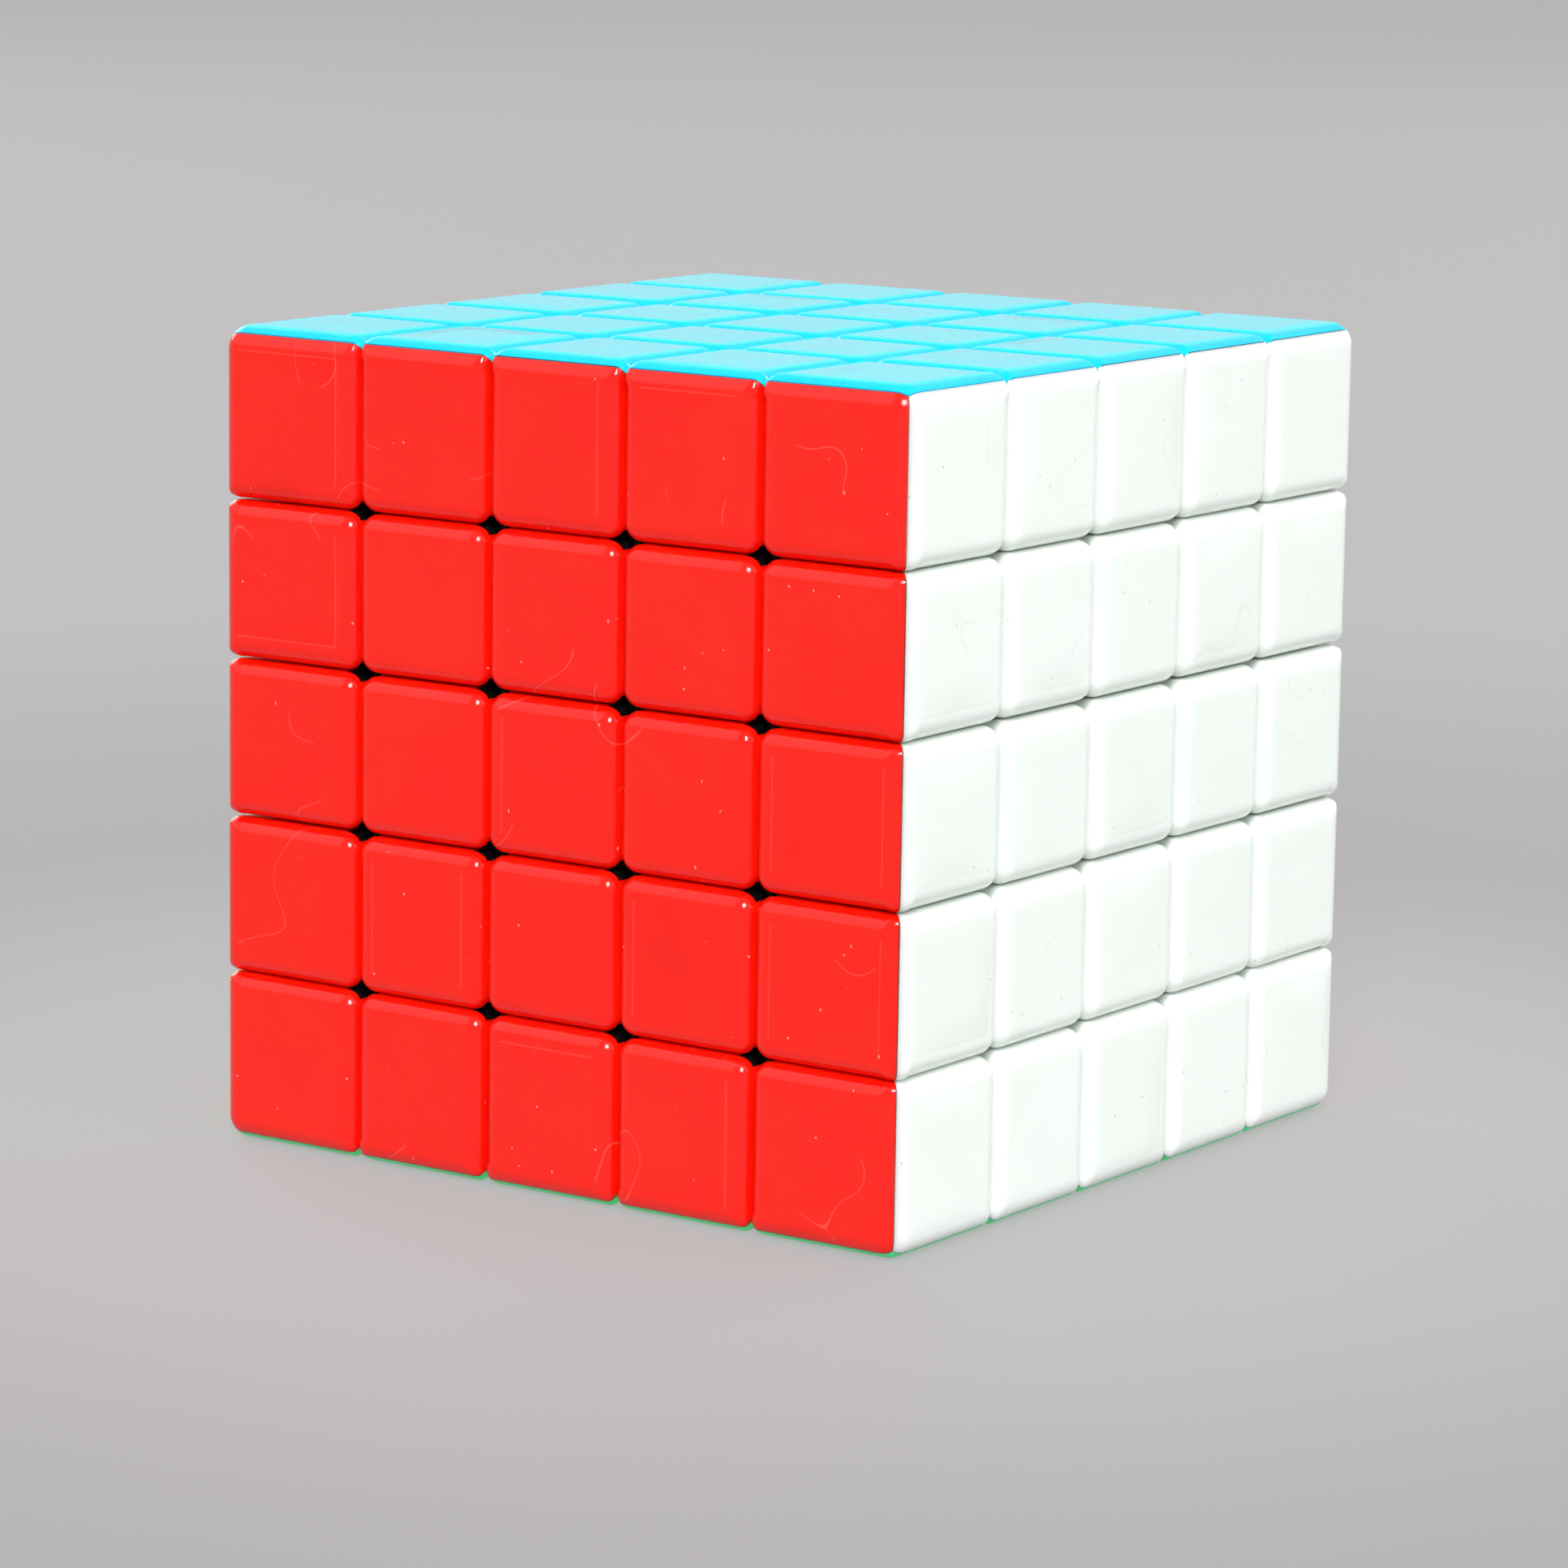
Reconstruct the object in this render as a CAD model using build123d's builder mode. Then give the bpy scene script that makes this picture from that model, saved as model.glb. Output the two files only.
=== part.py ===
"""A 5 x 5 x 5 twisty puzzle cube: 98 cubies around a core with six tension screws.

Frame: millimetres, origin at the cube's centre, +Z up. The red face looks along -Y, the
white face along +X, the blue face is up.

Every cut between two layers is a surface of revolution about that layer's turning axis,
and the same cuts are repeated about X, Y and Z. A cubie is the space that its three
layers share, so any layer can turn about its axis without touching the others.
"""

import os
from math import cos, radians, tan

from build123d import *

os.makedirs("parts", exist_ok=True)

# ---- driving dimensions ----------------------------------------------------
half = 31.25  # half of the cube's edge
pitch = 12.1  # width of the three inner layers
gap = 0.24  # clearance between two neighbouring cubies
far = 60.0  # well outside the cube

# Cuts between layers. Outside the hook radius a cut is a flat plane; inside it the cut
# steps towards the core, so that each outer foot reaches under the next layer's plate.
hook_radius = 27.5
outer_plane = 1.5 * pitch
outer_hook = 15.0
cone_angle = 33.0
inner_plane = 0.5 * pitch
inner_hook = 4.5

# Coloured caps
face_wall = 1.5
side_wall = 1.2
cap_depth = 3.0
edge_rounding = 2.0  # along the cube's edges, where two coloured faces meet
groove_rounding = 1.4  # beside the grooves between cubies
touching = 0.001  # how near to a plane a point on it may measure

# Core, and the hollow that the feet leave around it
core_radius = 15.8
foot_clear_radius = 16.5
corner_foot_radius = 24.0
arm_radius = 2.8
arm_end = 20.0
arm_bore = 3.1
arm_bore_end = 20.2

# Tension screw, spring and washer
web_top = 21.7
screw_radius = 1.2
screw_hole_radius = 1.5
pilot_radius = 1.25
pilot_depth = 10.0
screw_tip = 11.0
pocket_radius = 3.3
head_radius = 2.7
head_bottom = 26.2
head_top = 28.0
recess_length = 3.0
recess_width = 0.6
recess_depth = 0.9
washer_thickness = 0.4
washer_radius = 2.7
spring_wire = 0.45
spring_radius = 2.0
spring_turns = 5
spring_end_gap = 0.1

# Shifts between the two sides of a cut
side_gap = gap / 2
cone_slope = tan(radians(cone_angle))
cone_gap = side_gap / cos(radians(cone_angle))
cap_floor = half - cap_depth

AXES = [Vector(*v) for v in ((1, 0, 0), (0, 1, 0), (0, 0, 1), (-1, 0, 0), (0, -1, 0), (0, 0, -1))]
TURNS = [
    Plane(origin=(0, 0, 0), x_dir=x_dir, z_dir=z_dir)
    for z_dir in AXES
    for x_dir in AXES
    if abs(x_dir.dot(z_dir)) < 0.5
]
about_x = Plane(origin=(0, 0, 0), x_dir=(0, 1, 0), z_dir=(1, 0, 0))
about_y = Plane(origin=(0, 0, 0), x_dir=(0, 0, 1), z_dir=(0, 1, 0))
COLOURS = {
    (0, 0, 1): "blue",
    (0, 0, -1): "green",
    (0, -1, 0): "red",
    (0, 1, 0): "orange",
    (1, 0, 0): "white",
    (-1, 0, 0): "yellow",
}
LAYERS = {2: "top", 1: "upper", 0: "middle", -1: "lower", -2: "bottom"}


# ---- layer bands: solids of revolution about Z -----------------------------
def cone_reach(height, shift):
    """Distance from the axis at which the cone, moved up by shift, has this height."""
    return (height - shift) / cone_slope


def outer_band():
    """Everything above the outer cut."""
    step = outer_hook + side_gap
    plane = outer_plane + side_gap
    wall = hook_radius - side_gap
    with BuildPart() as band:
        with BuildSketch(Plane.XZ):
            with BuildLine():
                Polyline(
                    (0, cone_gap),
                    (cone_reach(step, cone_gap), step),
                    (wall, step),
                    (wall, plane),
                    (far, plane),
                    (far, far),
                    (0, far),
                    close=True,
                )
            make_face()
        revolve(axis=Axis.Z)
    return band.part


def inner_band():
    """Everything between the inner cut and the outer cut."""
    low_wall = hook_radius - side_gap
    high_wall = hook_radius + side_gap
    low_step = inner_hook + side_gap
    low_plane = inner_plane + side_gap
    high_step = outer_hook - side_gap
    high_plane = outer_plane - side_gap
    with BuildPart() as band:
        with BuildSketch(Plane.XZ):
            with BuildLine():
                Polyline(
                    (cone_reach(low_step, -cone_gap), low_step),
                    (low_wall, low_step),
                    (low_wall, low_plane),
                    (far, low_plane),
                    (far, high_plane),
                    (high_wall, high_plane),
                    (high_wall, high_step),
                    (cone_reach(high_step, -cone_gap), high_step),
                    close=True,
                )
            make_face()
        revolve(axis=Axis.Z)
    return band.part


def middle_band():
    """Everything between the two inner cuts."""
    wall = hook_radius + side_gap
    with BuildPart() as band:
        Cylinder(wall, 2 * (inner_hook - side_gap))
        with BuildSketch(Plane.XY.offset(side_gap - inner_plane)):
            Circle(far)
            Circle(wall, mode=Mode.SUBTRACT)
        extrude(amount=2 * (inner_plane - side_gap))
    return band.part


BANDS = {0: middle_band(), 1: inner_band(), 2: outer_band()}
LIMITS = {
    0: (side_gap - inner_plane, inner_plane - side_gap),
    1: (inner_plane + side_gap, outer_plane - side_gap),
    2: (outer_plane + side_gap, half),
}


# ---- the six kinds of cubie, each at one place -----------------------------
def plug(place):
    """The block that fills the inside of a cubie's caps, down to the ends of their walls."""
    with BuildPart() as block:
        spans = []
        for layer in place:
            low, high = LIMITS[layer]
            spans.append((low + side_wall, high - (face_wall if layer == 2 else side_wall)))
        with Locations(tuple((low + high) / 2 for low, high in spans)):
            Box(*(high - low for low, high in spans))
        Box(2 * cap_floor, 2 * cap_floor, 2 * cap_floor, mode=Mode.SUBTRACT)
    return block.part


def foot(place, inner_radius):
    """The black inner part of a cubie: its hook, and the plug inside its caps."""
    with BuildPart() as piece:
        add(BANDS[place[0]].moved(about_x.location))
        add(BANDS[place[1]].moved(about_y.location), mode=Mode.INTERSECT)
        add(BANDS[place[2]], mode=Mode.INTERSECT)
        Box(2 * cap_floor, 2 * cap_floor, 2 * cap_floor, mode=Mode.INTERSECT)
        Sphere(inner_radius, mode=Mode.SUBTRACT)
        add(plug(place))
    return piece.part


def centre_foot():
    """The fixed centre's foot, bored for the core's arm, the screw and the spring."""
    with BuildPart() as piece:
        add(foot((0, 0, 2), foot_clear_radius))
        with BuildSketch():
            Circle(arm_bore)
        extrude(amount=arm_bore_end, mode=Mode.SUBTRACT)
        with BuildSketch():
            Circle(screw_hole_radius)
        extrude(amount=half, mode=Mode.SUBTRACT)
        with BuildSketch(Plane.XY.offset(web_top)):
            Circle(pocket_radius)
        extrude(amount=half, mode=Mode.SUBTRACT)
    return piece.part


def on_cube_edge(edge):
    """True for an edge of the block where two of the cube's faces meet."""
    return sum(abs(number - half) < touching for number in edge.center()) == 2


def beside_groove(edge, place):
    """True for an edge of the block on a side that faces another cubie."""
    return any(
        side != half and abs(number - side) < touching
        for layer, number in zip(place, edge.center())
        for side in LIMITS[layer]
    )


def caps(place):
    """A cubie's coloured caps, one for each outer face, as {axis number: solid}.

    All edges of the cubie's block are rounded. Its outer skin is kept as deep as the cap's
    walls reach, and is parted between two faces along the plane that halves their angle.
    """
    spans = [LIMITS[layer] for layer in place]
    outer_axes = [number for number, layer in enumerate(place) if layer == 2]
    pieces = {}
    for axis in outer_axes:
        with BuildPart() as cap:
            with Locations(tuple((low + high) / 2 for low, high in spans)):
                Box(*(high - low for low, high in spans))
            if len(outer_axes) > 1:
                fillet(cap.edges().filter_by(on_cube_edge), edge_rounding)
            fillet(cap.edges().filter_by(lambda edge: beside_groove(edge, place)), groove_rounding)
            Box(2 * cap_floor, 2 * cap_floor, 2 * cap_floor, mode=Mode.SUBTRACT)
            add(plug(place), mode=Mode.SUBTRACT)
            for other in outer_axes:
                if other != axis:
                    parting = Plane(origin=(0, 0, 0), z_dir=AXES[axis] - AXES[other])
                    split(bisect_by=parting, keep=Keep.TOP)
        pieces[axis] = cap.part
    return pieces


KINDS = {
    "corner": (2, 2, 2),
    "outer_edge": (1, 2, 2),
    "middle_edge": (0, 2, 2),
    "diagonal_centre": (1, 1, 2),
    "straight_centre": (0, 1, 2),
    "fixed_centre": (0, 0, 2),
}
FACE_GROUPS = {
    "corner": "corner",
    "outer_edge": "edge",
    "middle_edge": "edge",
    "diagonal_centre": "inner",
    "straight_centre": "inner",
}


# ---- inside the cube, along +Z ---------------------------------------------
def tension_screw():
    """A pan-head screw with a cross recess."""
    with BuildPart() as screw:
        with BuildSketch(Plane.XY.offset(screw_tip)):
            Circle(screw_radius)
        extrude(amount=head_bottom - screw_tip)
        chamfer(screw.edges().group_by(Axis.Z)[0], screw_radius / 2)
        with BuildSketch(Plane.XY.offset(head_bottom)):
            Circle(head_radius)
        extrude(amount=head_top - head_bottom)
        fillet(screw.edges().group_by(Axis.Z)[-1], (head_top - head_bottom) / 2)
        with BuildSketch(Plane.XY.offset(head_top)):
            Rectangle(recess_length, recess_width)
            Rectangle(recess_width, recess_length)
        extrude(amount=-recess_depth, mode=Mode.SUBTRACT)
    return screw.part


def spring_washer():
    """The flat washer between the spring and the screw's head."""
    with BuildPart() as washer:
        with BuildSketch(Plane.XY.offset(head_bottom - washer_thickness)):
            Circle(washer_radius)
            Circle(pilot_radius, mode=Mode.SUBTRACT)
        extrude(amount=washer_thickness)
    return washer.part


def tension_spring():
    """The coil spring that presses the fixed centre towards the core."""
    low = web_top + spring_end_gap + spring_wire / 2
    high = head_bottom - washer_thickness - spring_end_gap - spring_wire / 2
    with BuildPart() as spring:
        with BuildLine() as coil:
            Helix(pitch=(high - low) / spring_turns, height=high - low, radius=spring_radius,
                  center=(0, 0, low))
        with BuildSketch(Plane(origin=coil.line @ 0, z_dir=coil.line % 0)):
            Circle(spring_wire / 2)
        sweep(path=coil.line, is_frenet=True)
    return spring.part


def core_ball():
    """The core, with an arm and a screw hole along each axis."""
    with BuildPart() as ball:
        Sphere(core_radius)
        for axis in AXES:
            with BuildSketch(Plane(origin=(0, 0, 0), z_dir=axis)):
                Circle(arm_radius)
            extrude(amount=arm_end)
        for axis in AXES:
            with BuildSketch(Plane(origin=axis * pilot_depth, z_dir=axis)):
                Circle(pilot_radius)
            extrude(amount=arm_end, mode=Mode.SUBTRACT)
    return ball.part


# ---- sorting the placed pieces into nodes ----------------------------------
def rounded(vector):
    """A vector's three coordinates as whole numbers."""
    return tuple(round(number) for number in vector)


def foot_node(place, kind):
    """The name of the node that a foot belongs to."""
    single = kind == "fixed_centre" and place[2] != 0
    return f"{LAYERS[place[2]]}_{kind}_{'foot' if single else 'feet'}"


def cap_node(place, kind, normal):
    """The name of the node that a cap belongs to."""
    colour = COLOURS[normal]
    if kind == "fixed_centre":
        return f"{colour}_centre_cap"
    if normal[2] != 0:
        return f"{colour}_{FACE_GROUPS[kind]}_caps"
    return f"{LAYERS[place[2]]}_{colour}_caps"


nodes = {}
for kind, home in KINDS.items():
    if kind == "fixed_centre":
        kind_foot = centre_foot()
    else:
        kind_foot = foot(home, corner_foot_radius if kind == "corner" else foot_clear_radius)
    kind_caps = caps(home)
    filled = set()
    for turn in TURNS:
        place = rounded(turn.from_local_coords(Vector(*home)))
        if place in filled:
            continue
        filled.add(place)
        nodes.setdefault(foot_node(place, kind), []).append(kind_foot.moved(turn.location))
        for axis, cap in kind_caps.items():
            normal = rounded(turn.from_local_coords(AXES[axis]))
            nodes.setdefault(cap_node(place, kind, normal), []).append(cap.moved(turn.location))

nodes["core"] = [core_ball()]
for name, seed in (
    ("tension_screws", tension_screw()),
    ("spring_washers", spring_washer()),
    ("tension_springs", tension_spring()),
):
    nodes[name] = [seed.moved(Plane(origin=(0, 0, 0), z_dir=axis).location) for axis in AXES]

for name, pieces in nodes.items():
    with BuildPart() as node:
        add([solid for piece in pieces for solid in piece.solids()])
    node.part.label = name
    export_step(node.part, f"parts/{name}.step")
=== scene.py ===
"""A 5 x 5 x 5 twisty puzzle cube: moulded caps, materials, light and camera.

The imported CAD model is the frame. Each CAD cap node is replaced by one mesh piece that holds
that node's caps as closed shells. The black feet, the core, screws, washers and springs keep
their CAD shapes and get procedural materials. All lengths are in metres.
"""

import itertools
import math
import random
from collections import namedtuple
from itertools import pairwise

import bpy
import bmesh
from mathutils import Matrix, Vector


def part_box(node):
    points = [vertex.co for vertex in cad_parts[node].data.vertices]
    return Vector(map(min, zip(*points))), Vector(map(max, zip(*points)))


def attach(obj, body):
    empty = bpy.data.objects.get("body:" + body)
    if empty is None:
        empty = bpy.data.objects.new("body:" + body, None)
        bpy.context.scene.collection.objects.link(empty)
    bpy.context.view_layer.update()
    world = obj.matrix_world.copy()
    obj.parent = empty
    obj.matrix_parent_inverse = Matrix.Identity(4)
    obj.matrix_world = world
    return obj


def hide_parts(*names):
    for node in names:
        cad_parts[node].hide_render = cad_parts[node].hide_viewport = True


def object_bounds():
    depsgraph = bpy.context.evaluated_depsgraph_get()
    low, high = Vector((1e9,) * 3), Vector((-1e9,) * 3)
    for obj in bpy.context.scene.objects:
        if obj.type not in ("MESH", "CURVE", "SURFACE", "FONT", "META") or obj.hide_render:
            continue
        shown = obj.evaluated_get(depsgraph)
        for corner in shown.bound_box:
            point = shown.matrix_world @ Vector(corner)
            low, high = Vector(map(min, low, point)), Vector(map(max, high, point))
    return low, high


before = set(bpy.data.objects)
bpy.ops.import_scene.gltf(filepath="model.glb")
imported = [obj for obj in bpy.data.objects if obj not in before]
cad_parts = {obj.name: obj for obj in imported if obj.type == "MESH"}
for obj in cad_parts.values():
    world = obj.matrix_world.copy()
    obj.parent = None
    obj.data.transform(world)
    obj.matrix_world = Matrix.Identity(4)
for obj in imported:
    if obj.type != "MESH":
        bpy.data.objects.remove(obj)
cad_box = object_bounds()

MM = 0.001

# ---- the cube's measures, from the frame -----------------------------------
# A cubie's place is its three layers, from -2 to 2 along X, Y and Z. LIMITS holds where the
# cubies of the middle layer, of a slice beside it and of an outer layer begin and end.
HALF = cad_box[1].z
MIDDLE_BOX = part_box("red_centre_cap")
UPPER_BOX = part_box("upper_red_caps")
TOP_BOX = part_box("top_red_caps")
LIMITS = {
    0: (MIDDLE_BOX[0].z, MIDDLE_BOX[1].z),
    1: (UPPER_BOX[0].z, UPPER_BOX[1].z),
    2: (TOP_BOX[0].z, HALF),
}
CAD_CAP_DEPTH = MIDDLE_BOX[1].y - MIDDLE_BOX[0].y

# ---- the moulded caps ------------------------------------------------------
# A cap starts as grid cells on a cubie's sharp-edged block. Each corner of a cell is then moved
# onto the rounded outside, and again onto the inside of the walls, and a rim joins the two skins.
EDGE_ROUNDING = 1.8 * MM  # along the cube's edges
GROOVE_ROUNDING = 1.4 * MM  # beside the grooves
NOTCH_ROUNDING = 0.75 * MM  # beside the grooves where they cross the cube's edges
NOTCH_EASE = 0.5  # the power by which one groove rounding turns into the other
CAP_DEPTH = CAD_CAP_DEPTH - 0.05 * MM
FACE_WALL = 1.35 * MM
SIDE_WALL = 1.05 * MM
ROUNDING_CELLS = 5
FLAT_CELLS = 4
SUPPORT = 0.1 * MM  # a grid line this far behind the end of a rounding keeps the flat flat
NEARLY = SUPPORT / 10  # lengths that differ by less than this count as the same
KEYS_PER_SUPPORT = 100  # how finely corners are told apart when a shell is joined up
SMOOTH_ANGLE = math.radians(40)  # sharper edges than this stay sharp in the shading
GROW = 0.05 * MM  # how much wider than in CAD the caps are beside each groove
SETTLE = 0.06 * MM  # how far every cubie sits inside the CAD box
SEAM_STEP = 0.14 * MM  # the V-shaped groove where two caps of one cubie meet on an edge
SEAM_GROOVE = 0.12 * MM
CROSSING_SHADE_DEPTH = 1.0 * MM  # the walls are painted black below this at the groove crossings, as painted shade
CROSSING_SHADE_REACH = (1.45 * MM, 1.45 * MM, 0.5 * MM)  # along X, Y and Z from the crossing
MOULD_INSET = 1.8 * MM  # from a cap's side to the foot of its mould step
MOULD_STEP = 0.025 * MM  # how far the middle of some caps stands proud of their rim
MOULD_EASE = 3  # the power by which the middle falls away towards a side with no step
STEP_CHANCE = 0.14  # how likely each side of a cap has a mould step
MAX_SHIFT = 0.02 * MM
MAX_TILT = math.radians(0.18)
CHANCE_SEED = 5
ATTRIBUTES = ("bend", "seam", "step", "foot", "tone")  # numbers kept at each point for the material

LAYERS = {2: "top", 1: "upper", 0: "middle", -1: "lower", -2: "bottom"}
LAYER_BODIES = {
    2: "top_layer",
    1: "upper_slice",
    0: "root",
    -1: "lower_slice",
    -2: "bottom_layer",
}
COLOURS = {  # by the axis and the side that a face looks along
    (2, 1): "blue",
    (2, -1): "green",
    (1, -1): "red",
    (1, 1): "orange",
    (0, 1): "white",
    (0, -1): "yellow",
}


def span(layer):
    """Lowest and highest coordinate of the cubies in a layer from -2 to 2."""
    low, high = LIMITS[abs(layer)]
    return (low, high) if layer >= 0 else (-high, -low)


def outer_axes(place):
    """The axes along which a cubie reaches the cube's outside."""
    return [axis for axis, layer in enumerate(place) if abs(layer) == 2]


def widened(layer):
    """Span of a layer's moulded caps, which stand a little nearer to each other than in CAD."""
    low, high = span(layer)
    return (low if layer == -2 else low - GROW, high if layer == 2 else high + GROW)


def rounding_steps(radius):
    """Distances from a sharp edge to the grid lines that become its rounding."""
    turns = [math.radians(45 * (1 - step / ROUNDING_CELLS)) for step in range(ROUNDING_CELLS + 1)]
    return [radius * (1 - math.tan(turn)) for turn in turns]


GROOVE_STEPS = rounding_steps(GROOVE_ROUNDING) + [
    GROOVE_ROUNDING + SUPPORT,
    MOULD_INSET,
    MOULD_INSET + SUPPORT,
]
SEAM_STEPS = [0.0, SEAM_STEP] + rounding_steps(GROOVE_ROUNDING)[1:] + [
    (GROOVE_ROUNDING + EDGE_ROUNDING) / 2,
    EDGE_ROUNDING,
    EDGE_ROUNDING + SUPPORT,
    CAP_DEPTH,
]


def grid_lines(layer):
    """Grid lines across a cubie, close together at both ends."""
    low, high = widened(layer)
    low_steps = SEAM_STEPS if layer == -2 else GROOVE_STEPS
    high_steps = SEAM_STEPS if layer == 2 else GROOVE_STEPS
    first = [low + step for step in low_steps]
    last = [high - step for step in reversed(high_steps)]
    cell = (last[0] - first[-1]) / FLAT_CELLS
    return first + [first[-1] + cell * number for number in range(1, FLAT_CELLS)] + last


def seam_distance(layer, number):
    """Distance to the cube's outside, if this end of the layer reaches it."""
    near_outside = abs(layer) == 2 and abs(number) > (LIMITS[2][0] + HALF) / 2
    return HALF - abs(number) if near_outside else math.inf


def on_seam(place, sharp):
    """True where two caps of one cubie meet on an edge of the cube."""
    return sum(seam_distance(*pair) < NEARLY for pair in zip(place, sharp)) > 1


def in_crossing_shade(place, sharp):
    """True deep in a groove crossing, where the walls are painted black as painted shade."""
    near_grooves = 0
    for layer, number, reach in zip(place, sharp, CROSSING_SHADE_REACH):
        low, high = widened(layer)
        near_low = layer != -2 and number - low < reach
        near_high = layer != 2 and high - number < reach
        near_grooves += near_low or near_high
    depth = min(seam_distance(*pair) for pair in zip(place, sharp))
    return near_grooves > 1 and depth > CROSSING_SHADE_DEPTH


def block_point(place, axis, across, depth):
    """The point with these two coordinates across a cap, this deep below its face."""
    point = list(across)
    point.insert(axis, math.copysign(HALF - depth, place[axis]))
    return tuple(point)


def face_cells(place, axis):
    """The cells of a cap's face."""
    first, second = [grid_lines(place[number]) for number in range(3) if number != axis]
    return [
        [block_point(place, axis, across, 0) for across in ((a, c), (b, c), (b, d), (a, d))]
        for (a, b), (c, d) in itertools.product(pairwise(first), pairwise(second))
    ]


def wall_cells(place, axis, side, along):
    """The cells of a cap's walls at both ends of the axis side, where they stand at a groove.

    Cells beyond the slanted seam between two caps are left out, or cut to a triangle.
    """
    has_seam = abs(place[side]) == 2 or abs(place[along]) == 2
    depths = SEAM_STEPS if has_seam else GROOVE_STEPS + [CAP_DEPTH]
    cells = []
    for wall in widened(place[side]):
        if seam_distance(place[side], wall) < math.inf:
            continue
        lines = pairwise(grid_lines(place[along]))
        for (a, b), (c, d) in itertools.product(lines, pairwise(depths)):
            corners = [
                block_point(place, axis, (wall, t) if side < along else (t, wall), depth)
                for t, depth in ((a, c), (b, c), (b, d), (a, d))
                if seam_distance(place[along], t) > depth - NEARLY
            ]
            if len(corners) > 2:
                cells.append(corners)
    return cells


def cap_cells(place, axis):
    """The cells of a cap's sharp-edged outside: its face, then its walls beside the grooves."""
    first, second = [number for number in range(3) if number != axis]
    walls = wall_cells(place, axis, first, second) + wall_cells(place, axis, second, first)
    return face_cells(place, axis) + walls


def rounded_point(place, sharp):
    """Moves a point of a cubie's sharp block onto its rounded outside.

    Edges of the cube have one radius, edges beside grooves a smaller one, which shrinks
    further towards the cube's edges. A single-faced cubie has only the groove's radius.
    outward and sideways are how far the point lies from the core that the roundings turn
    about, towards the cube's outside and towards the grooves.
    """
    edge_radius = EDGE_ROUNDING if len(outer_axes(place)) > 1 else GROOVE_ROUNDING
    outward = Vector([
        math.copysign(max(0.0, edge_radius - seam_distance(layer, number)), number)
        for layer, number in zip(place, sharp)
    ])
    edge_share = sorted(abs(part) for part in outward)[1] / edge_radius
    groove_radius = GROOVE_ROUNDING + (NOTCH_ROUNDING - GROOVE_ROUNDING) * edge_share**NOTCH_EASE
    sideways = []
    for layer, number in zip(place, sharp):
        low, high = widened(layer)
        held = min(max(number, low + groove_radius), high - groove_radius)
        to_outside = seam_distance(layer, number) < math.inf
        sideways.append(0.0 if to_outside else number - held)
    sideways = Vector(sideways)
    core = Vector(sharp) - outward - sideways
    reach = outward.length
    slide = min(reach, edge_radius - groove_radius)
    away = outward / reach if reach else outward
    lean = away * (reach - slide) + sideways
    radius = groove_radius - (SEAM_GROOVE if on_seam(place, sharp) else 0.0)
    return core + away * slide + lean.normalized() * radius


def cavity_point(place, sharp):
    """Moves a point of a cubie's sharp block onto the inside of its walls."""
    result = []
    for layer, number in zip(place, sharp):
        low, high = widened(layer)
        low_wall = FACE_WALL if layer == -2 else SIDE_WALL
        high_wall = FACE_WALL if layer == 2 else SIDE_WALL
        if number - low < CAP_DEPTH:
            number = low + low_wall + (number - low) * (1 - low_wall / CAP_DEPTH)
        elif high - number < CAP_DEPTH:
            number = high - high_wall - (high - number) * (1 - high_wall / CAP_DEPTH)
        result.append(number)
    return Vector(result)


def mould_lift(place, axis, sharp, stepped):
    """How far a point of a cap's face stands proud, from mould steps at the stepped sides."""
    if seam_distance(place[axis], sharp[axis]) > 0:
        return 0.0
    lift = MOULD_STEP
    for across, sides in stepped.items():
        low, high = widened(place[across])
        middle = (low + high) / 2
        side = 1 if sharp[across] > middle else -1
        from_middle = abs(sharp[across] - middle)
        top = (high - low) / 2 - MOULD_INSET - SUPPORT
        fall = max(0.0, 1 - (from_middle / top) ** MOULD_EASE)
        lift *= float(from_middle < top + NEARLY) if side in sides else fall
    return lift


def on_step(place, axis, sharp, stepped):
    """True on the foot of a mould step, where a pale line is painted as a highlight."""
    if mould_lift(place, axis, sharp, stepped) > 0 or seam_distance(place[axis], sharp[axis]) > 0:
        return False
    insets, sides_hit = [], []
    for across, sides in stepped.items():
        low, high = widened(place[across])
        side = 1 if sharp[across] > (low + high) / 2 else -1
        inset = min(sharp[across] - low, high - sharp[across])
        insets.append(inset)
        sides_hit.append(side in sides and abs(inset - MOULD_INSET) < NEARLY)
    return any(sides_hit) and min(insets) > MOULD_INSET - NEARLY


def settling(place, chance):
    """How one cubie sits in the cube: a hair inside the CAD box, shifted and tilted a little."""
    low_high = [span(layer) for layer in place]
    centre = Vector([(low + high) / 2 for low, high in low_high])
    shift = Vector([chance.uniform(-MAX_SHIFT, MAX_SHIFT) for _ in place])
    for axis in outer_axes(place):
        shift[axis] -= math.copysign(SETTLE, place[axis])
    tilt = Vector([chance.uniform(-1, 1) for _ in place]) * MAX_TILT / math.sqrt(3)
    turn = Matrix.Rotation(tilt.length, 4, tilt.normalized())
    return Matrix.Translation(centre + shift) @ turn @ Matrix.Translation(-centre)


def pick_steps(place, axis, chance):
    """The sides of a cap that have a mould step, as {axis across: sides}."""
    across = [number for number in range(3) if number != axis]
    return {number: [side for side in (-1, 1) if chance.random() < STEP_CHANCE] for number in across}


def shared_corners(cells):
    """The cells' corners, each once, and the cells as lists of corner numbers."""
    corners, numbers, faces = [], {}, []
    for cell in cells:
        face = []
        for sharp in cell:
            key = tuple(round(number / SUPPORT * KEYS_PER_SUPPORT) for number in sharp)
            if key not in numbers:
                numbers[key] = len(corners)
                corners.append(sharp)
            face.append(numbers[key])
        faces.append(face)
    return corners, faces


def open_edges(faces):
    """The edges, as (start, end), that only one face has."""
    uses = {}
    for face in faces:
        for start, end in zip(face, face[1:] + face[:1]):
            uses.setdefault(frozenset((start, end)), []).append((start, end))
    return [used[0] for used in uses.values() if len(used) == 1]


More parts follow.
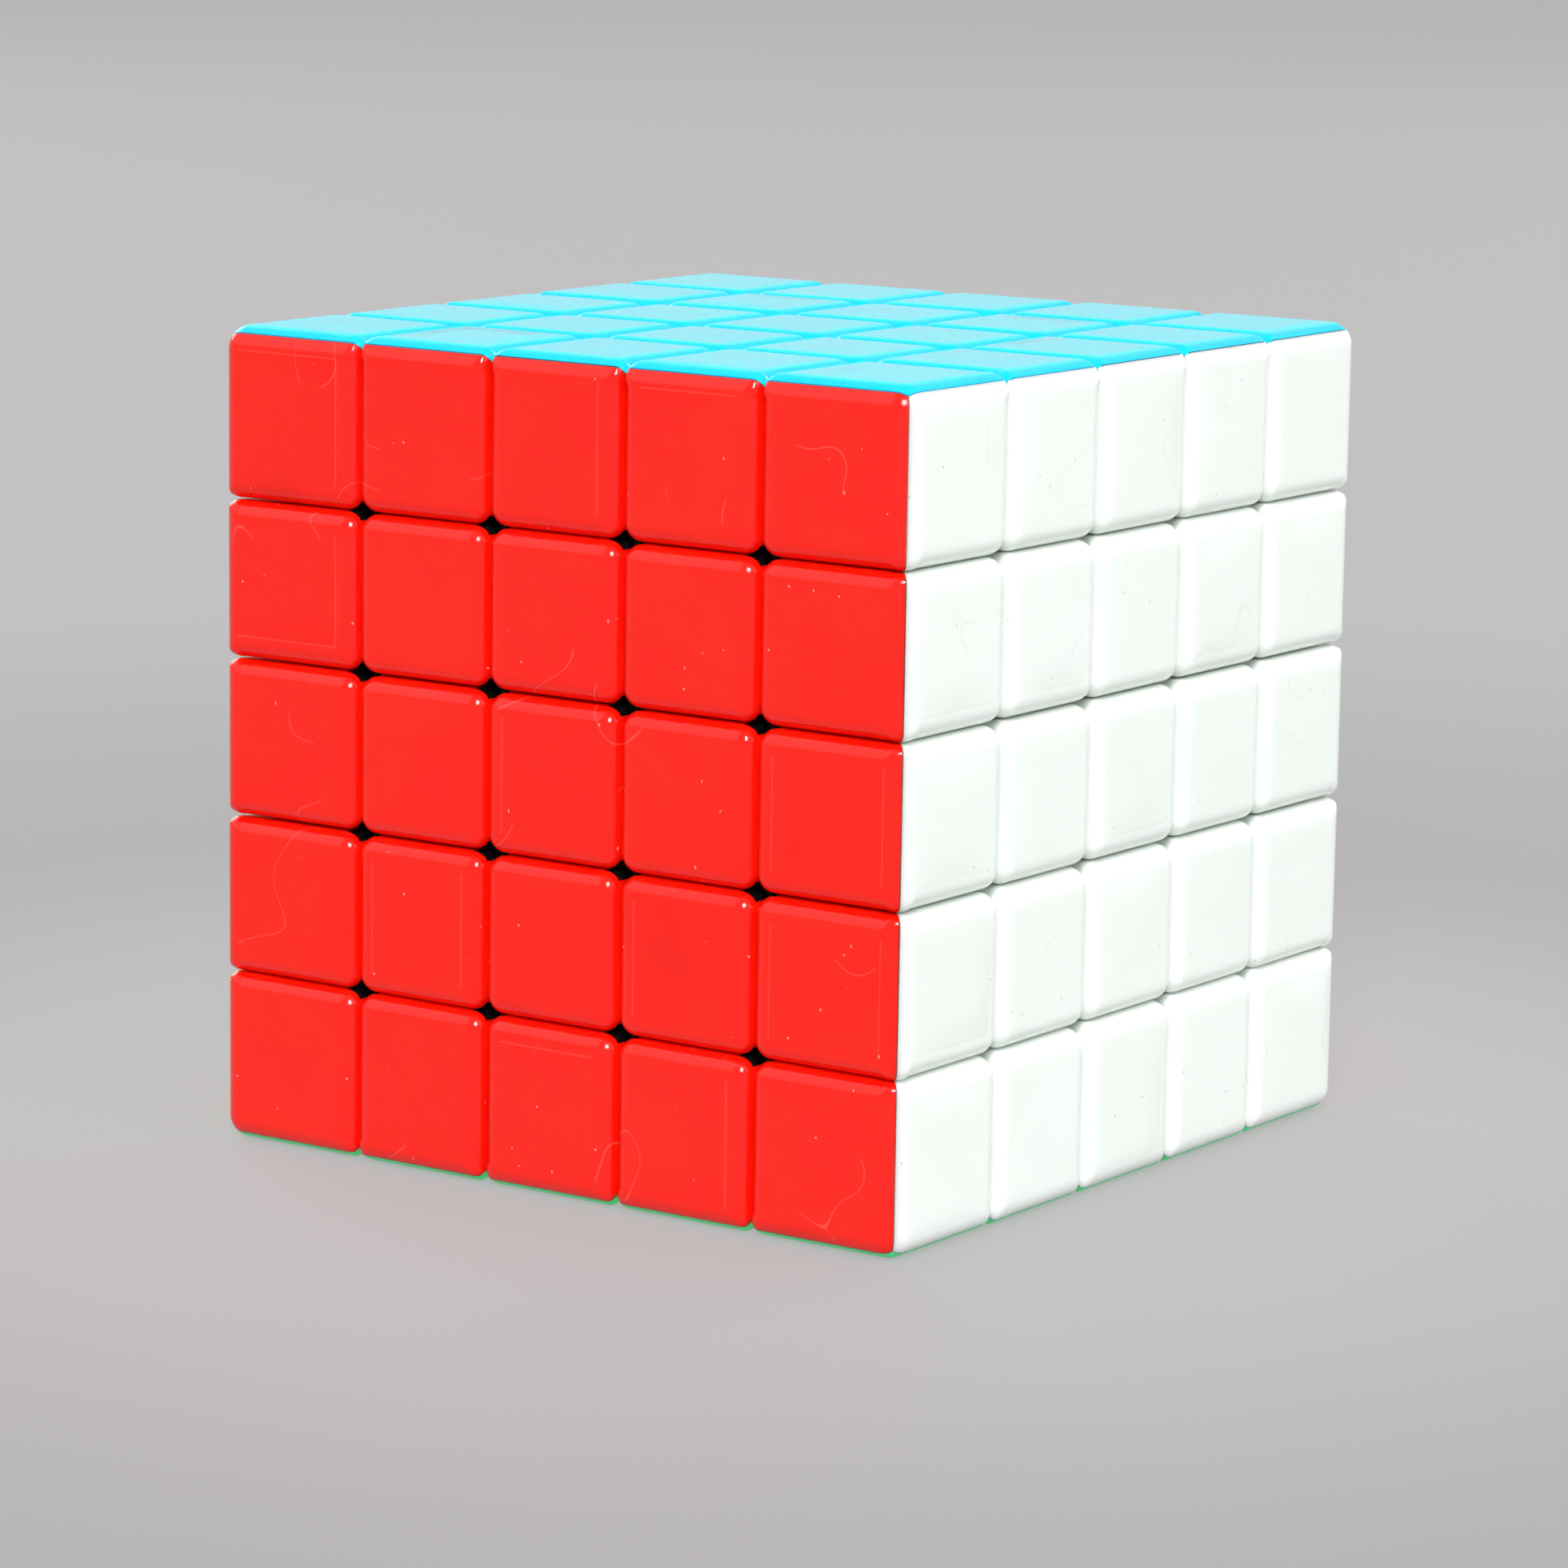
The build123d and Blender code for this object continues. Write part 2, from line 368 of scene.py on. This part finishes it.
def add_shell(mesh_data, outside, inside, faces):
    """Adds an outer skin, an inner skin and the rim that joins them."""
    base = len(mesh_data["points"])
    count = len(outside)
    mesh_data["points"] += outside + inside
    mesh_data["faces"] += [[base + number for number in face] for face in faces]
    mesh_data["faces"] += [[base + count + number for number in reversed(face)] for face in faces]
    for start, end in open_edges(faces):
        rim = (end, start, start + count, end + count)
        mesh_data["faces"].append([base + number for number in rim])


def add_cap(mesh_data, place, axis, seat, chance):
    """Adds one cap's closed shell to mesh_data, with the numbers that its material reads."""
    tone = chance.random()
    stepped = pick_steps(place, axis, chance)
    out_of_face = Vector([math.copysign(number == axis, place[axis]) for number in range(3)])
    corners, faces = shared_corners(cap_cells(place, axis))
    outside, inside = [], []
    for sharp in corners:
        rounded = rounded_point(place, sharp)
        bend = (rounded - Vector(sharp)).length
        rounded += out_of_face * mould_lift(place, axis, sharp, stepped)
        outside.append(seat @ rounded)
        inside.append(seat @ cavity_point(place, sharp))
        mesh_data["bend"].append(bend / EDGE_ROUNDING)
        mesh_data["seam"].append(float(on_seam(place, sharp)))
        mesh_data["step"].append(float(on_step(place, axis, sharp, stepped)))
        mesh_data["foot"].append(float(in_crossing_shade(place, sharp)))
        mesh_data["tone"].append(tone)
    add_shell(mesh_data, outside, inside, faces)
    for attribute in ATTRIBUTES:
        mesh_data[attribute] += [tone if attribute == "tone" else 0.0] * len(inside)


def cap_piece(name, mesh_data):
    """One mesh object from collected shells, with smooth roundings and sharp inner edges."""
    mesh = bpy.data.meshes.new(name)
    mesh.from_pydata(mesh_data["points"], [], mesh_data["faces"])
    for attribute in ATTRIBUTES:
        layer = mesh.attributes.new(attribute, "FLOAT", "POINT")
        layer.data.foreach_set("value", mesh_data[attribute])
    shells = bmesh.new()
    shells.from_mesh(mesh)
    bmesh.ops.recalc_face_normals(shells, faces=shells.faces)
    shells.to_mesh(mesh)
    shells.free()
    mesh.shade_smooth()
    mesh.set_sharp_from_angle(angle=SMOOTH_ANGLE)
    piece = bpy.data.objects.new(name, mesh)
    bpy.context.scene.collection.objects.link(piece)
    return piece


def cap_group(place, axis):
    """(CAD node, body, colour) of the cap on one face of a cubie."""
    colour = COLOURS[axis, 1 if place[axis] > 0 else -1]
    across = [place[number] for number in range(3) if number != axis]
    body = LAYER_BODIES[place[2]]
    if across == [0, 0]:
        return f"{colour}_centre_cap", f"{colour}_centre_cap", colour
    if axis != 2:
        return f"{LAYERS[place[2]]}_{colour}_caps", body, colour
    outer_count = sum(abs(layer) == 2 for layer in across)
    return f"{colour}_{('inner', 'edge', 'corner')[outer_count]}_caps", body, colour


def make_caps():
    """Builds every cap piece and puts it in its CAD node's place. Returns {piece: colour}.

    The pieces are called tiles, because the CAD nodes have the caps' names.
    """
    chance = random.Random(CHANCE_SEED)
    groups = {}
    for place in itertools.product(sorted(LAYERS), repeat=3):
        if not outer_axes(place):
            continue
        seat = settling(place, chance)
        for axis in outer_axes(place):
            node, body, colour = cap_group(place, axis)
            fresh = {key: [] for key in ("points", "faces", *ATTRIBUTES)}
            mesh_data = groups.setdefault((node, body, colour), fresh)
            add_cap(mesh_data, place, axis, seat, chance)
    pieces = {}
    for (node, body, colour), mesh_data in groups.items():
        piece = cap_piece(node.replace("cap", "tile"), mesh_data)
        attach(piece, body)
        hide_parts(node)
        pieces[piece] = colour
    return pieces


# ---- materials -------------------------------------------------------------
class Nodes:
    """A short way to write a material's node tree."""

    def __init__(self, name):
        self.material = bpy.data.materials.new(name)
        self.material.use_nodes = True
        self.tree = self.material.node_tree
        self.shader = self.tree.nodes["Principled BSDF"]

    def add(self, kind, settings=None, **inputs):
        """A node with its settings and inputs; an input that is a socket is linked."""
        node = self.tree.nodes.new(kind)
        for key, value in (settings or {}).items():
            setattr(node, key, value)
        for key, value in inputs.items():
            self.put(node, key.replace("_", " "), value)
        return node

    def put(self, node, key, value):
        """Sets or links one input, named or numbered."""
        socket = node.inputs[int(key) if key.isdigit() else key]
        if isinstance(value, bpy.types.NodeSocket):
            self.tree.links.new(value, socket)
        else:
            socket.default_value = value

    def shade(self, **inputs):
        """Sets or links inputs of the Principled shader."""
        for key, value in inputs.items():
            self.put(self.shader, key.replace("_", " "), value)

    def place(self, scale=(1, 1, 1), turn=(0, 0, 0)):
        """Object coordinates, scaled and turned."""
        coordinates = self.add("ShaderNodeTexCoord").outputs["Object"]
        mapping = self.add("ShaderNodeMapping", Vector=coordinates, Scale=scale, Rotation=turn)
        return mapping.outputs["Vector"]

    def noise(self, size, detail=2.0, vector=None):
        """Noise from 0 to 1 with features of this size in metres."""
        spread = vector or self.place()
        node = self.add("ShaderNodeTexNoise", Vector=spread, Scale=1 / size, Detail=detail)
        return node.outputs["Fac"]

    def attribute(self, name):
        """A number stored on the mesh."""
        return self.add("ShaderNodeAttribute", {"attribute_name": name}).outputs["Fac"]

    def math(self, operation, first, second=0.0):
        """One operation on one or two numbers."""
        node = self.add("ShaderNodeMath", {"operation": operation}, **{"0": first, "1": second})
        return node.outputs[0]

    def remap(self, value, low, high, to_low, to_high):
        """A number moved smoothly from one range to another."""
        node = self.add(
            "ShaderNodeMapRange",
            {"interpolation_type": "SMOOTHSTEP"},
            Value=value,
            From_Min=low,
            From_Max=high,
            To_Min=to_low,
            To_Max=to_high,
        )
        return node.outputs[0]

    def mix(self, factor, first, second):
        """A colour between two colours, which are the node's inputs 6 and 7."""
        inputs = {"0": factor, "6": first, "7": second}
        node = self.add("ShaderNodeMix", {"data_type": "RGBA"}, **inputs)
        return node.outputs[2]

    def bump(self, height, distance, under=None):
        """A bump of this many metres, on top of another one."""
        node = self.add("ShaderNodeBump", Height=height, Distance=distance)
        if under:
            self.put(node, "Normal", under)
        return node.outputs["Normal"]


# ---- the glossy plastic of the caps ----------------------------------------
GLOSS_ROUGHNESS = 0.13
GRAIN_RANGE = (0.8, 1.25)  # the share of that roughness on the glossiest and dullest grain
BLOTCH_SIZE = 9 * MM
TONE_SHARE = 0.35  # how much the caps differ in colour from each other
SMUDGE_SIZE = 8 * MM
SMUDGE_SHADE = 0.8  # how dark a smudge is, as a share of the deep colour
PAINTED_SEAM_SHADE = 0.15  # the same for the painted shade in the seams
PAINTED_SEAM_STRENGTH = 0.95
# how strong the painted highlight along the mould steps is
STEP_HIGHLIGHT_STRENGTH = 0.06
HAIR_CURL = 6 * MM
HAIR_SHARE = 0.38  # how much of the surface may have hairs
HAIR_PATCH = 1.3  # the size of the patches with hairs, in curls
HAIR_PATCH_EDGE = 0.03
HAIR_LINE = (0.001, 0.007)  # half widths of a hair, from solid to gone, in noise
HAIR_STRENGTH = 0.16
DUST_STRENGTH = 0.65
SPECK_CORE = 0.6  # the solid part of a speck's radius
SCRATCH_SPACING = 0.9 * MM
SCRATCH_PATCH = 7 * MM
SCRATCH_PATCH_EDGE = 0.06
SCRATCH_STRETCH = 14
SCRATCH_LINE = (0.0, 0.006)
SCRATCH_DEPTH = 0.001 * MM
SCRATCH_ROUGHNESS = 0.15
WEAR_SIZE = 1.2 * MM
WEAR_ROUGHNESS = 0.12
GRAIN_SIZE = 3 * MM
WAVE_SIZE = 6 * MM
WAVE_HEIGHT = 0.014 * MM
PEEL_SIZE = 0.5 * MM
PEEL_HEIGHT = 0.0012 * MM
FEET_BLACK = (0.006, 0.006, 0.007)

# body and deep: the two colours of the blotches
# edge: the colour of the roundings, a little darker and deeper than the body: painted shade
# speck: the colour of dust and hairs, and of the painted highlight along the mould steps
# glow: how far red, green and blue light spread inside the plastic, in mm
# foot_share: how black the walls are painted at the groove crossings, as painted shade
# smudge: how strong the smudges are
Look = namedtuple("Look", "body deep edge speck glow ior foot_share smudge")


def opaque(colour, shade=1.0):
    """A colour for a socket, at a share of its brightness."""
    return (*[part * shade for part in colour], 1)


def middle_line(nodes, noise, thin, thick):
    """The thin lines along which a noise crosses its middle: 1 on a line, 0 elsewhere."""
    off_middle = nodes.math("ABSOLUTE", nodes.math("SUBTRACT", noise, 0.5))
    return nodes.remap(off_middle, thin, thick, 1.0, 0.0)


def scratches(nodes, turn, threshold):
    """Thin straight scratches along one direction: 1 in a scratch, 0 elsewhere."""
    spread = nodes.place(scale=(1, SCRATCH_STRETCH, 1), turn=turn)
    noise = nodes.noise(SCRATCH_SPACING, detail=0.0, vector=spread)
    patches = nodes.noise(SCRATCH_PATCH, detail=1.0)
    scratched = nodes.remap(patches, threshold, threshold + SCRATCH_PATCH_EDGE, 0.0, 1.0)
    return nodes.math("MULTIPLY", middle_line(nodes, noise, *SCRATCH_LINE), scratched)


def hairs(nodes):
    """Fine curled hairs lying on the plastic: 1 on a hair, 0 elsewhere."""
    curls = nodes.noise(HAIR_CURL, detail=0.0, vector=nodes.place(turn=(0.4, 1.3, 0.2)))
    spread = nodes.place(turn=(2.1, 0.3, 1.2))
    patches = nodes.noise(HAIR_CURL * HAIR_PATCH, detail=0.0, vector=spread)
    threshold = 1 - HAIR_SHARE
    hairy = nodes.remap(patches, threshold, threshold + HAIR_PATCH_EDGE, 0.0, 1.0)
    return nodes.math("MULTIPLY", middle_line(nodes, curls, *HAIR_LINE), hairy)


def specks(nodes, spacing, size, share, stretch=1.0):
    """Tiny specks: 1 in a speck, 0 elsewhere. share is how many cells hold one."""
    vector = nodes.place(scale=(1, 1, 1 / stretch), turn=(0.3, 0.5, 0.0))
    cells = nodes.add("ShaderNodeTexVoronoi", {"feature": "F1"}, Vector=vector, Scale=1 / spacing)
    radius = size / spacing
    near = nodes.remap(cells.outputs["Distance"], radius * SPECK_CORE, radius, 1.0, 0.0)
    pick = nodes.add("ShaderNodeSeparateColor", Color=cells.outputs["Color"]).outputs[0]
    return nodes.math("MULTIPLY", near, nodes.math("LESS_THAN", pick, share))


def litter(nodes):
    """Round dust, longer lint and hairs: how strongly their colour covers the plastic."""
    dust = specks(nodes, spacing=0.9 * MM, size=0.10 * MM, share=0.055)
    lint = specks(nodes, spacing=0.8 * MM, size=0.07 * MM, share=0.07, stretch=2.5)
    faint_hairs = nodes.math("MULTIPLY", hairs(nodes), HAIR_STRENGTH)
    strongest = nodes.math("MAXIMUM", nodes.math("MAXIMUM", dust, lint), faint_hairs)
    return nodes.math("MULTIPLY", strongest, DUST_STRENGTH)


def gloss_colour(nodes, look, tone, bend):
    """The plastic's colour, from its blotches to the dirt on top, with painted shade on the roundings,
    in the seams and in the crossings, and a painted highlight on the mould steps.
    """
    deep = opaque(look.deep)
    speck = opaque(look.speck)
    blotches = nodes.remap(nodes.noise(BLOTCH_SIZE, detail=3.0), 0.3, 0.7, 0.0, 1.0)
    colour = nodes.mix(blotches, opaque(look.body), deep)
    colour = nodes.mix(nodes.remap(tone, 0.0, 1.0, 0.0, TONE_SHARE), colour, deep)
    # painted shade: the roundings are painted in the darker edge colour
    colour = nodes.mix(nodes.remap(bend, 0.01, 0.12, 0.0, 1.0), colour, opaque(look.edge))
    smudge_noise = nodes.noise(SMUDGE_SIZE, vector=nodes.place(turn=(1, 2, 0)))
    smudges = nodes.remap(smudge_noise, 0.58, 0.75, 0.0, look.smudge)
    colour = nodes.mix(smudges, colour, opaque(look.deep, SMUDGE_SHADE))
    # painted highlight: a faint pale line in the dust colour along the foot of each mould step
    step_highlight = nodes.remap(nodes.attribute("step"), 0.35, 1.0, 0.0, STEP_HIGHLIGHT_STRENGTH)
    colour = nodes.mix(step_highlight, colour, speck)
    colour = nodes.mix(litter(nodes), colour, speck)
    # painted shade: the seam grooves are painted dark, more on some caps than others
    seam_shade_share = nodes.math("MULTIPLY", nodes.remap(tone, 0.2, 0.8, 0.2, 0.9), PAINTED_SEAM_STRENGTH)
    seam_shade = nodes.math("MULTIPLY", nodes.remap(nodes.attribute("seam"), 0.1, 0.7, 0.0, 1.0), seam_shade_share)
    colour = nodes.mix(seam_shade, colour, opaque(look.deep, PAINTED_SEAM_SHADE))
    # painted shade: the walls deep in the groove crossings are painted black, strongly on red, green
    # and orange, faintly on white
    foot = nodes.remap(nodes.attribute("foot"), 0.4, 0.6, 0.0, look.foot_share)
    return nodes.mix(foot, colour, opaque(FEET_BLACK))


def gloss_plastic(name, look):
    """Glossy moulded plastic with orange peel, fine scratches, dust and worn edges."""
    nodes = Nodes(name)
    bend = nodes.attribute("bend")
    nodes.shade(Base_Color=gloss_colour(nodes, look, nodes.attribute("tone"), bend))
    marks = nodes.math(
        "MAXIMUM",
        scratches(nodes, turn=(0.3, 0.2, 0.5), threshold=0.56),
        scratches(nodes, turn=(1.1, 0.9, 2.2), threshold=0.58),
    )
    worn = nodes.math("MULTIPLY", bend, nodes.noise(WEAR_SIZE, detail=4.0))
    grain = nodes.remap(nodes.noise(GRAIN_SIZE, detail=5.0), 0.3, 0.7, *GRAIN_RANGE)
    rough = nodes.math("MULTIPLY", grain, GLOSS_ROUGHNESS)
    rough = nodes.math("ADD", rough, nodes.math("MULTIPLY", worn, WEAR_ROUGHNESS))
    rough = nodes.math("ADD", rough, nodes.math("MULTIPLY", marks, SCRATCH_ROUGHNESS))
    nodes.shade(Roughness=rough, IOR=look.ior)
    nodes.shade(Subsurface_Weight=1.0, Subsurface_Radius=look.glow, Subsurface_Scale=MM)
    waves = nodes.bump(nodes.noise(WAVE_SIZE, detail=1.0), WAVE_HEIGHT)
    peel = nodes.bump(nodes.noise(PEEL_SIZE), PEEL_HEIGHT, under=waves)
    nodes.shade(Normal=nodes.bump(marks, -SCRATCH_DEPTH, under=peel))
    return nodes.material


# ---- the parts inside ------------------------------------------------------
FLOW_SIZE = 2 * MM
NYLON_GRAIN_SIZE = 0.12 * MM
NYLON_GRAIN_HEIGHT = 0.004 * MM
NYLON_IOR = 1.5
STREAK_SIZE = 0.3 * MM
STREAK_HEIGHT = 0.003 * MM
STREAK_SHADE = 0.72  # how dark a streak is
FLOW_GAIN = 1.6  # how much paler the flow lines are, and by how much more
FLOW_LIFT = 0.006


def matt_plastic(name, colour, roughness):
    """Moulded nylon: fine grain and faint flow lines."""
    nodes = Nodes(name)
    flow = nodes.noise(FLOW_SIZE, detail=3.0, vector=nodes.place(scale=(1, 1, 5)))
    pale = tuple(min(1.0, part * FLOW_GAIN + FLOW_LIFT) for part in colour)
    share = nodes.remap(flow, 0.35, 0.75, 0.0, 1.0)
    rough = nodes.remap(flow, 0.3, 0.7, roughness - 0.06, roughness + 0.08)
    nodes.shade(Base_Color=nodes.mix(share, opaque(colour), opaque(pale)))
    nodes.shade(Roughness=rough, IOR=NYLON_IOR)
    nodes.shade(Normal=nodes.bump(nodes.noise(NYLON_GRAIN_SIZE), NYLON_GRAIN_HEIGHT))
    return nodes.material


def plated_steel(name, colour, roughness, streaks):
    """Zinc-plated or drawn steel with fine streaks."""
    nodes = Nodes(name)
    lines = nodes.noise(STREAK_SIZE, detail=3.0, vector=nodes.place(scale=streaks))
    share = nodes.remap(lines, 0.3, 0.7, 0.0, 1.0)
    rough = nodes.remap(lines, 0.3, 0.7, roughness - 0.08, roughness + 0.1)
    nodes.shade(Base_Color=nodes.mix(share, opaque(colour), opaque(colour, STREAK_SHADE)))
    nodes.shade(Roughness=rough, Metallic=1.0)
    nodes.shade(Normal=nodes.bump(lines, STREAK_HEIGHT))
    return nodes.material


# ---- every piece's material ------------------------------------------------
CAP_COLOURS = {
    "red": Look(
        body=(0.94, 0.012, 0.002),
        deep=(0.91, 0.009, 0.002),
        edge=(0.93, 0.008, 0.002),
        speck=(1.0, 0.60, 0.50),
        glow=(0.9, 0.1, 0.08),
        ior=1.46,
        foot_share=1.0,
        smudge=0.4,
    ),
    "white": Look(
        body=(0.83, 0.89, 0.84),
        deep=(0.81, 0.88, 0.82),
        edge=(0.80, 0.865, 0.81),
        speck=(0.30, 0.33, 0.25),
        glow=(1.4, 1.5, 1.4),
        ior=1.46,
        foot_share=0.05,
        smudge=0.08,
    ),
    "blue": Look(
        body=(0.002, 0.78, 1.0),
        deep=(0.002, 0.75, 0.99),
        edge=(0.001, 0.60, 0.96),
        speck=(0.02, 0.10, 0.16),
        glow=(0.1, 0.3, 0.4),
        ior=1.40,
        foot_share=0.6,
        smudge=0.15,
    ),
    "green": Look(
        body=(0.06, 0.90, 0.27),
        deep=(0.05, 0.87, 0.25),
        edge=(0.055, 0.88, 0.26),
        speck=(0.5, 0.8, 0.5),
        glow=(0.2, 0.8, 0.4),
        ior=1.46,
        foot_share=1.0,
        smudge=0.3,
    ),
    "orange": Look(
        body=(0.92, 0.17, 0.008),
        deep=(0.90, 0.15, 0.008),
        edge=(0.90, 0.14, 0.006),
        speck=(0.95, 0.7, 0.5),
        glow=(0.8, 0.25, 0.1),
        ior=1.46,
        foot_share=1.0,
        smudge=0.3,
    ),
    "yellow": Look(
        body=(0.92, 0.70, 0.02),
        deep=(0.90, 0.67, 0.018),
        edge=(0.90, 0.66, 0.015),
        speck=(0.6, 0.5, 0.2),
        glow=(0.8, 0.6, 0.1),
        ior=1.46,
        foot_share=0.6,
        smudge=0.2,
    ),
}


def dress(cap_pieces):
    """Gives every cap piece and every carried-over CAD node its material."""
    plastics = {
        colour: gloss_plastic(f"{colour}_plastic", look) for colour, look in CAP_COLOURS.items()
    }
    for piece, colour in cap_pieces.items():
        piece.data.materials.append(plastics[colour])
    inner = {
        "feet": matt_plastic("black_plastic", FEET_BLACK, roughness=0.45),
        "core": matt_plastic("core_plastic", (0.014, 0.014, 0.016), roughness=0.48),
        "screws": plated_steel("screw_steel", (0.62, 0.63, 0.66), roughness=0.28, streaks=(1, 1, 1)),
        "springs": plated_steel("spring_steel", (0.50, 0.50, 0.52), roughness=0.33, streaks=(1, 1, 8)),
    }
    kinds = {
        "tension_screws": "screws",
        "spring_washers": "screws",
        "tension_springs": "springs",
        "core": "core",
    }
    for name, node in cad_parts.items():
        if node.hide_render:
            continue
        node.data.materials.clear()
        node.data.materials.append(inner[kinds.get(name, "feet")])


# ---- floor, light and camera -----------------------------------------------
FLOOR_RADIUS = 8.0
FLOOR_CORNERS = 96
PAPER_GRAIN_SIZE = 1.5 * MM
PAPER_COLOURS = ((0.078, 0.077, 0.078, 1), (0.084, 0.083, 0.084, 1))
PAINTED_LIGHT_NEAR = (0.40, 0.391, 0.395, 1)  # painted light: the floor's glow beside the cube, which washes out the cube's shadow
PAINTED_LIGHT_BESIDE = (0.31, 0.302, 0.305, 1)  # the painted glow a little way off
PAINTED_LIGHT_FAR = (0.375, 0.367, 0.37, 1)
NEAR_TO_BESIDE = (0.05, 0.13)  # distances from the cube's middle
BESIDE_TO_FAR = (0.12, 0.3)


def painted_light_floor():
    """Dark matt paper that glows with painted light, brightest in a faint pool of light around the
    cube, where it washes out the cube's shadow.
    """
    nodes = Nodes("painted_light_floor")
    length = nodes.add("ShaderNodeVectorMath", {"operation": "LENGTH"}, Vector=nodes.place())
    distance = length.outputs["Value"]
    grain = nodes.noise(PAPER_GRAIN_SIZE)
    nodes.shade(Base_Color=nodes.mix(grain, *PAPER_COLOURS))
    nodes.shade(Roughness=nodes.remap(grain, 0.0, 1.0, 0.85, 0.95))
    pool = nodes.mix(nodes.remap(distance, *NEAR_TO_BESIDE, 0.0, 1.0), PAINTED_LIGHT_NEAR, PAINTED_LIGHT_BESIDE)
    glow = nodes.mix(nodes.remap(distance, *BESIDE_TO_FAR, 0.0, 1.0), pool, PAINTED_LIGHT_FAR)
    # painted light: the floor itself glows, with no lamp behind it
    nodes.shade(Emission_Color=glow, Emission_Strength=1.0)
    return nodes.material


def make_floor():
    """A plain floor under the cube, pale from its painted light."""
    mesh = bpy.data.meshes.new("floor")
    disc = bmesh.new()
    bmesh.ops.create_circle(disc, cap_ends=True, segments=FLOOR_CORNERS, radius=FLOOR_RADIUS)
    disc.to_mesh(mesh)
    disc.free()
    floor = bpy.data.objects.new("floor", mesh)
    floor.location.z = cad_box[0].z
    bpy.context.scene.collection.objects.link(floor)
    floor.data.materials.append(painted_light_floor())


LIGHT_DISTANCE = 1.6


def away_from_cube(azimuth, elevation):
    """The direction from the cube to something at these angles. 0, 0 is in front, towards -Y."""
    level = math.cos(elevation)
    return Vector((math.sin(azimuth) * level, -math.cos(azimuth) * level, math.sin(elevation)))


def soft_box(name, azimuth, elevation, width, height, strength):
    """An area light that faces the cube, at angles in degrees.

    A white surface that faces it looks as bright as strength says.
    """
    light = bpy.data.lights.new(name, "AREA")
    light.shape = "RECTANGLE"
    light.size = width
    light.size_y = height
    light.energy = strength * (math.pi * LIGHT_DISTANCE) ** 2
    lamp = bpy.data.objects.new(name, light)
    away = away_from_cube(math.radians(azimuth), math.radians(elevation))
    lamp.location = away * LIGHT_DISTANCE
    lamp.rotation_mode = "QUATERNION"
    lamp.rotation_quaternion = away.to_track_quat("Z", "Y")
    bpy.context.scene.collection.objects.link(lamp)


def make_lights():
    """A small key light in front, and large soft ones all round."""
    soft_box("key_light", azimuth=33, elevation=34, width=0.4, height=0.6, strength=0.90)
    soft_box("left_light", azimuth=-52, elevation=36, width=1.3, height=1.2, strength=0.12)
    soft_box("right_light", azimuth=95, elevation=35, width=1.2, height=1.0, strength=0.34)
    soft_box("far_left_light", azimuth=-108, elevation=24, width=1.0, height=0.7, strength=0.30)
    soft_box("back_light", azimuth=172, elevation=12, width=1.0, height=0.6, strength=0.28)


SURROUND = 0.48  # brightness all round
SURROUND_WALL = 0.68  # brightness of the wall behind the cube
WALL_DIRECTION = (-0.57, 0.81, 0.14)
WALL_SPREAD = (0.70, 0.97)  # cosines of the angles from that direction where it starts and is full


def make_world():
    """A pale surround with a brighter wall behind the cube."""
    world = bpy.data.worlds.new("studio")
    bpy.context.scene.world = world
    world.use_nodes = True
    tree = world.node_tree
    direction = tree.nodes.new("ShaderNodeTexCoord").outputs["Generated"]
    toward = tree.nodes.new("ShaderNodeVectorMath")
    toward.operation = "DOT_PRODUCT"
    toward.inputs[1].default_value = WALL_DIRECTION
    tree.links.new(direction, toward.inputs[0])
    level = tree.nodes.new("ShaderNodeMapRange")
    level.interpolation_type = "SMOOTHSTEP"
    level.inputs["From Min"].default_value = WALL_SPREAD[0]
    level.inputs["From Max"].default_value = WALL_SPREAD[1]
    level.inputs["To Min"].default_value = SURROUND
    level.inputs["To Max"].default_value = SURROUND_WALL
    tree.links.new(toward.outputs["Value"], level.inputs["Value"])
    background = tree.nodes["Background"]
    background.inputs["Color"].default_value = (1.0, 1.0, 1.0, 1)
    tree.links.new(level.outputs["Result"], background.inputs["Strength"])


CAMERA_AZIMUTH = math.radians(34.905)
CAMERA_ELEVATION = math.radians(10.14)
CAMERA_ROLL = math.radians(0.863)
CAMERA_DISTANCE = 450 * MM
CAMERA_RIGHT = 0.72 * MM  # how far the line of sight passes from the cube's centre
CAMERA_UP = 4.37 * MM
CAMERA_LENS = 134.2  # in mm, as Blender has it
CAMERA_SENSOR = 36.0
CAMERA_SEES = (0.01, 100.0)  # the nearest and furthest distance


def make_camera():
    """The camera, in front of the cube's red and white faces and a little above."""
    camera = bpy.data.cameras.new("camera")
    camera.lens = CAMERA_LENS
    camera.sensor_width = CAMERA_SENSOR
    camera.clip_start, camera.clip_end = CAMERA_SEES
    back = away_from_cube(CAMERA_AZIMUTH, CAMERA_ELEVATION)
    right = Vector((0, 0, 1)).cross(back).normalized()
    up = back.cross(right)
    rolled_right = right * math.cos(CAMERA_ROLL) + up * math.sin(CAMERA_ROLL)
    rolled_up = up * math.cos(CAMERA_ROLL) - right * math.sin(CAMERA_ROLL)
    holder = bpy.data.objects.new("camera", camera)
    turn = Matrix((rolled_right, rolled_up, back)).transposed()
    holder.rotation_mode = "QUATERNION"
    holder.rotation_quaternion = turn.to_quaternion()
    holder.location = back * CAMERA_DISTANCE - rolled_right * CAMERA_RIGHT - rolled_up * CAMERA_UP
    bpy.context.scene.collection.objects.link(holder)
    bpy.context.scene.camera = holder


dress(make_caps())
make_floor()
make_world()
make_lights()
make_camera()
bpy.context.scene.view_settings.view_transform = "Standard"
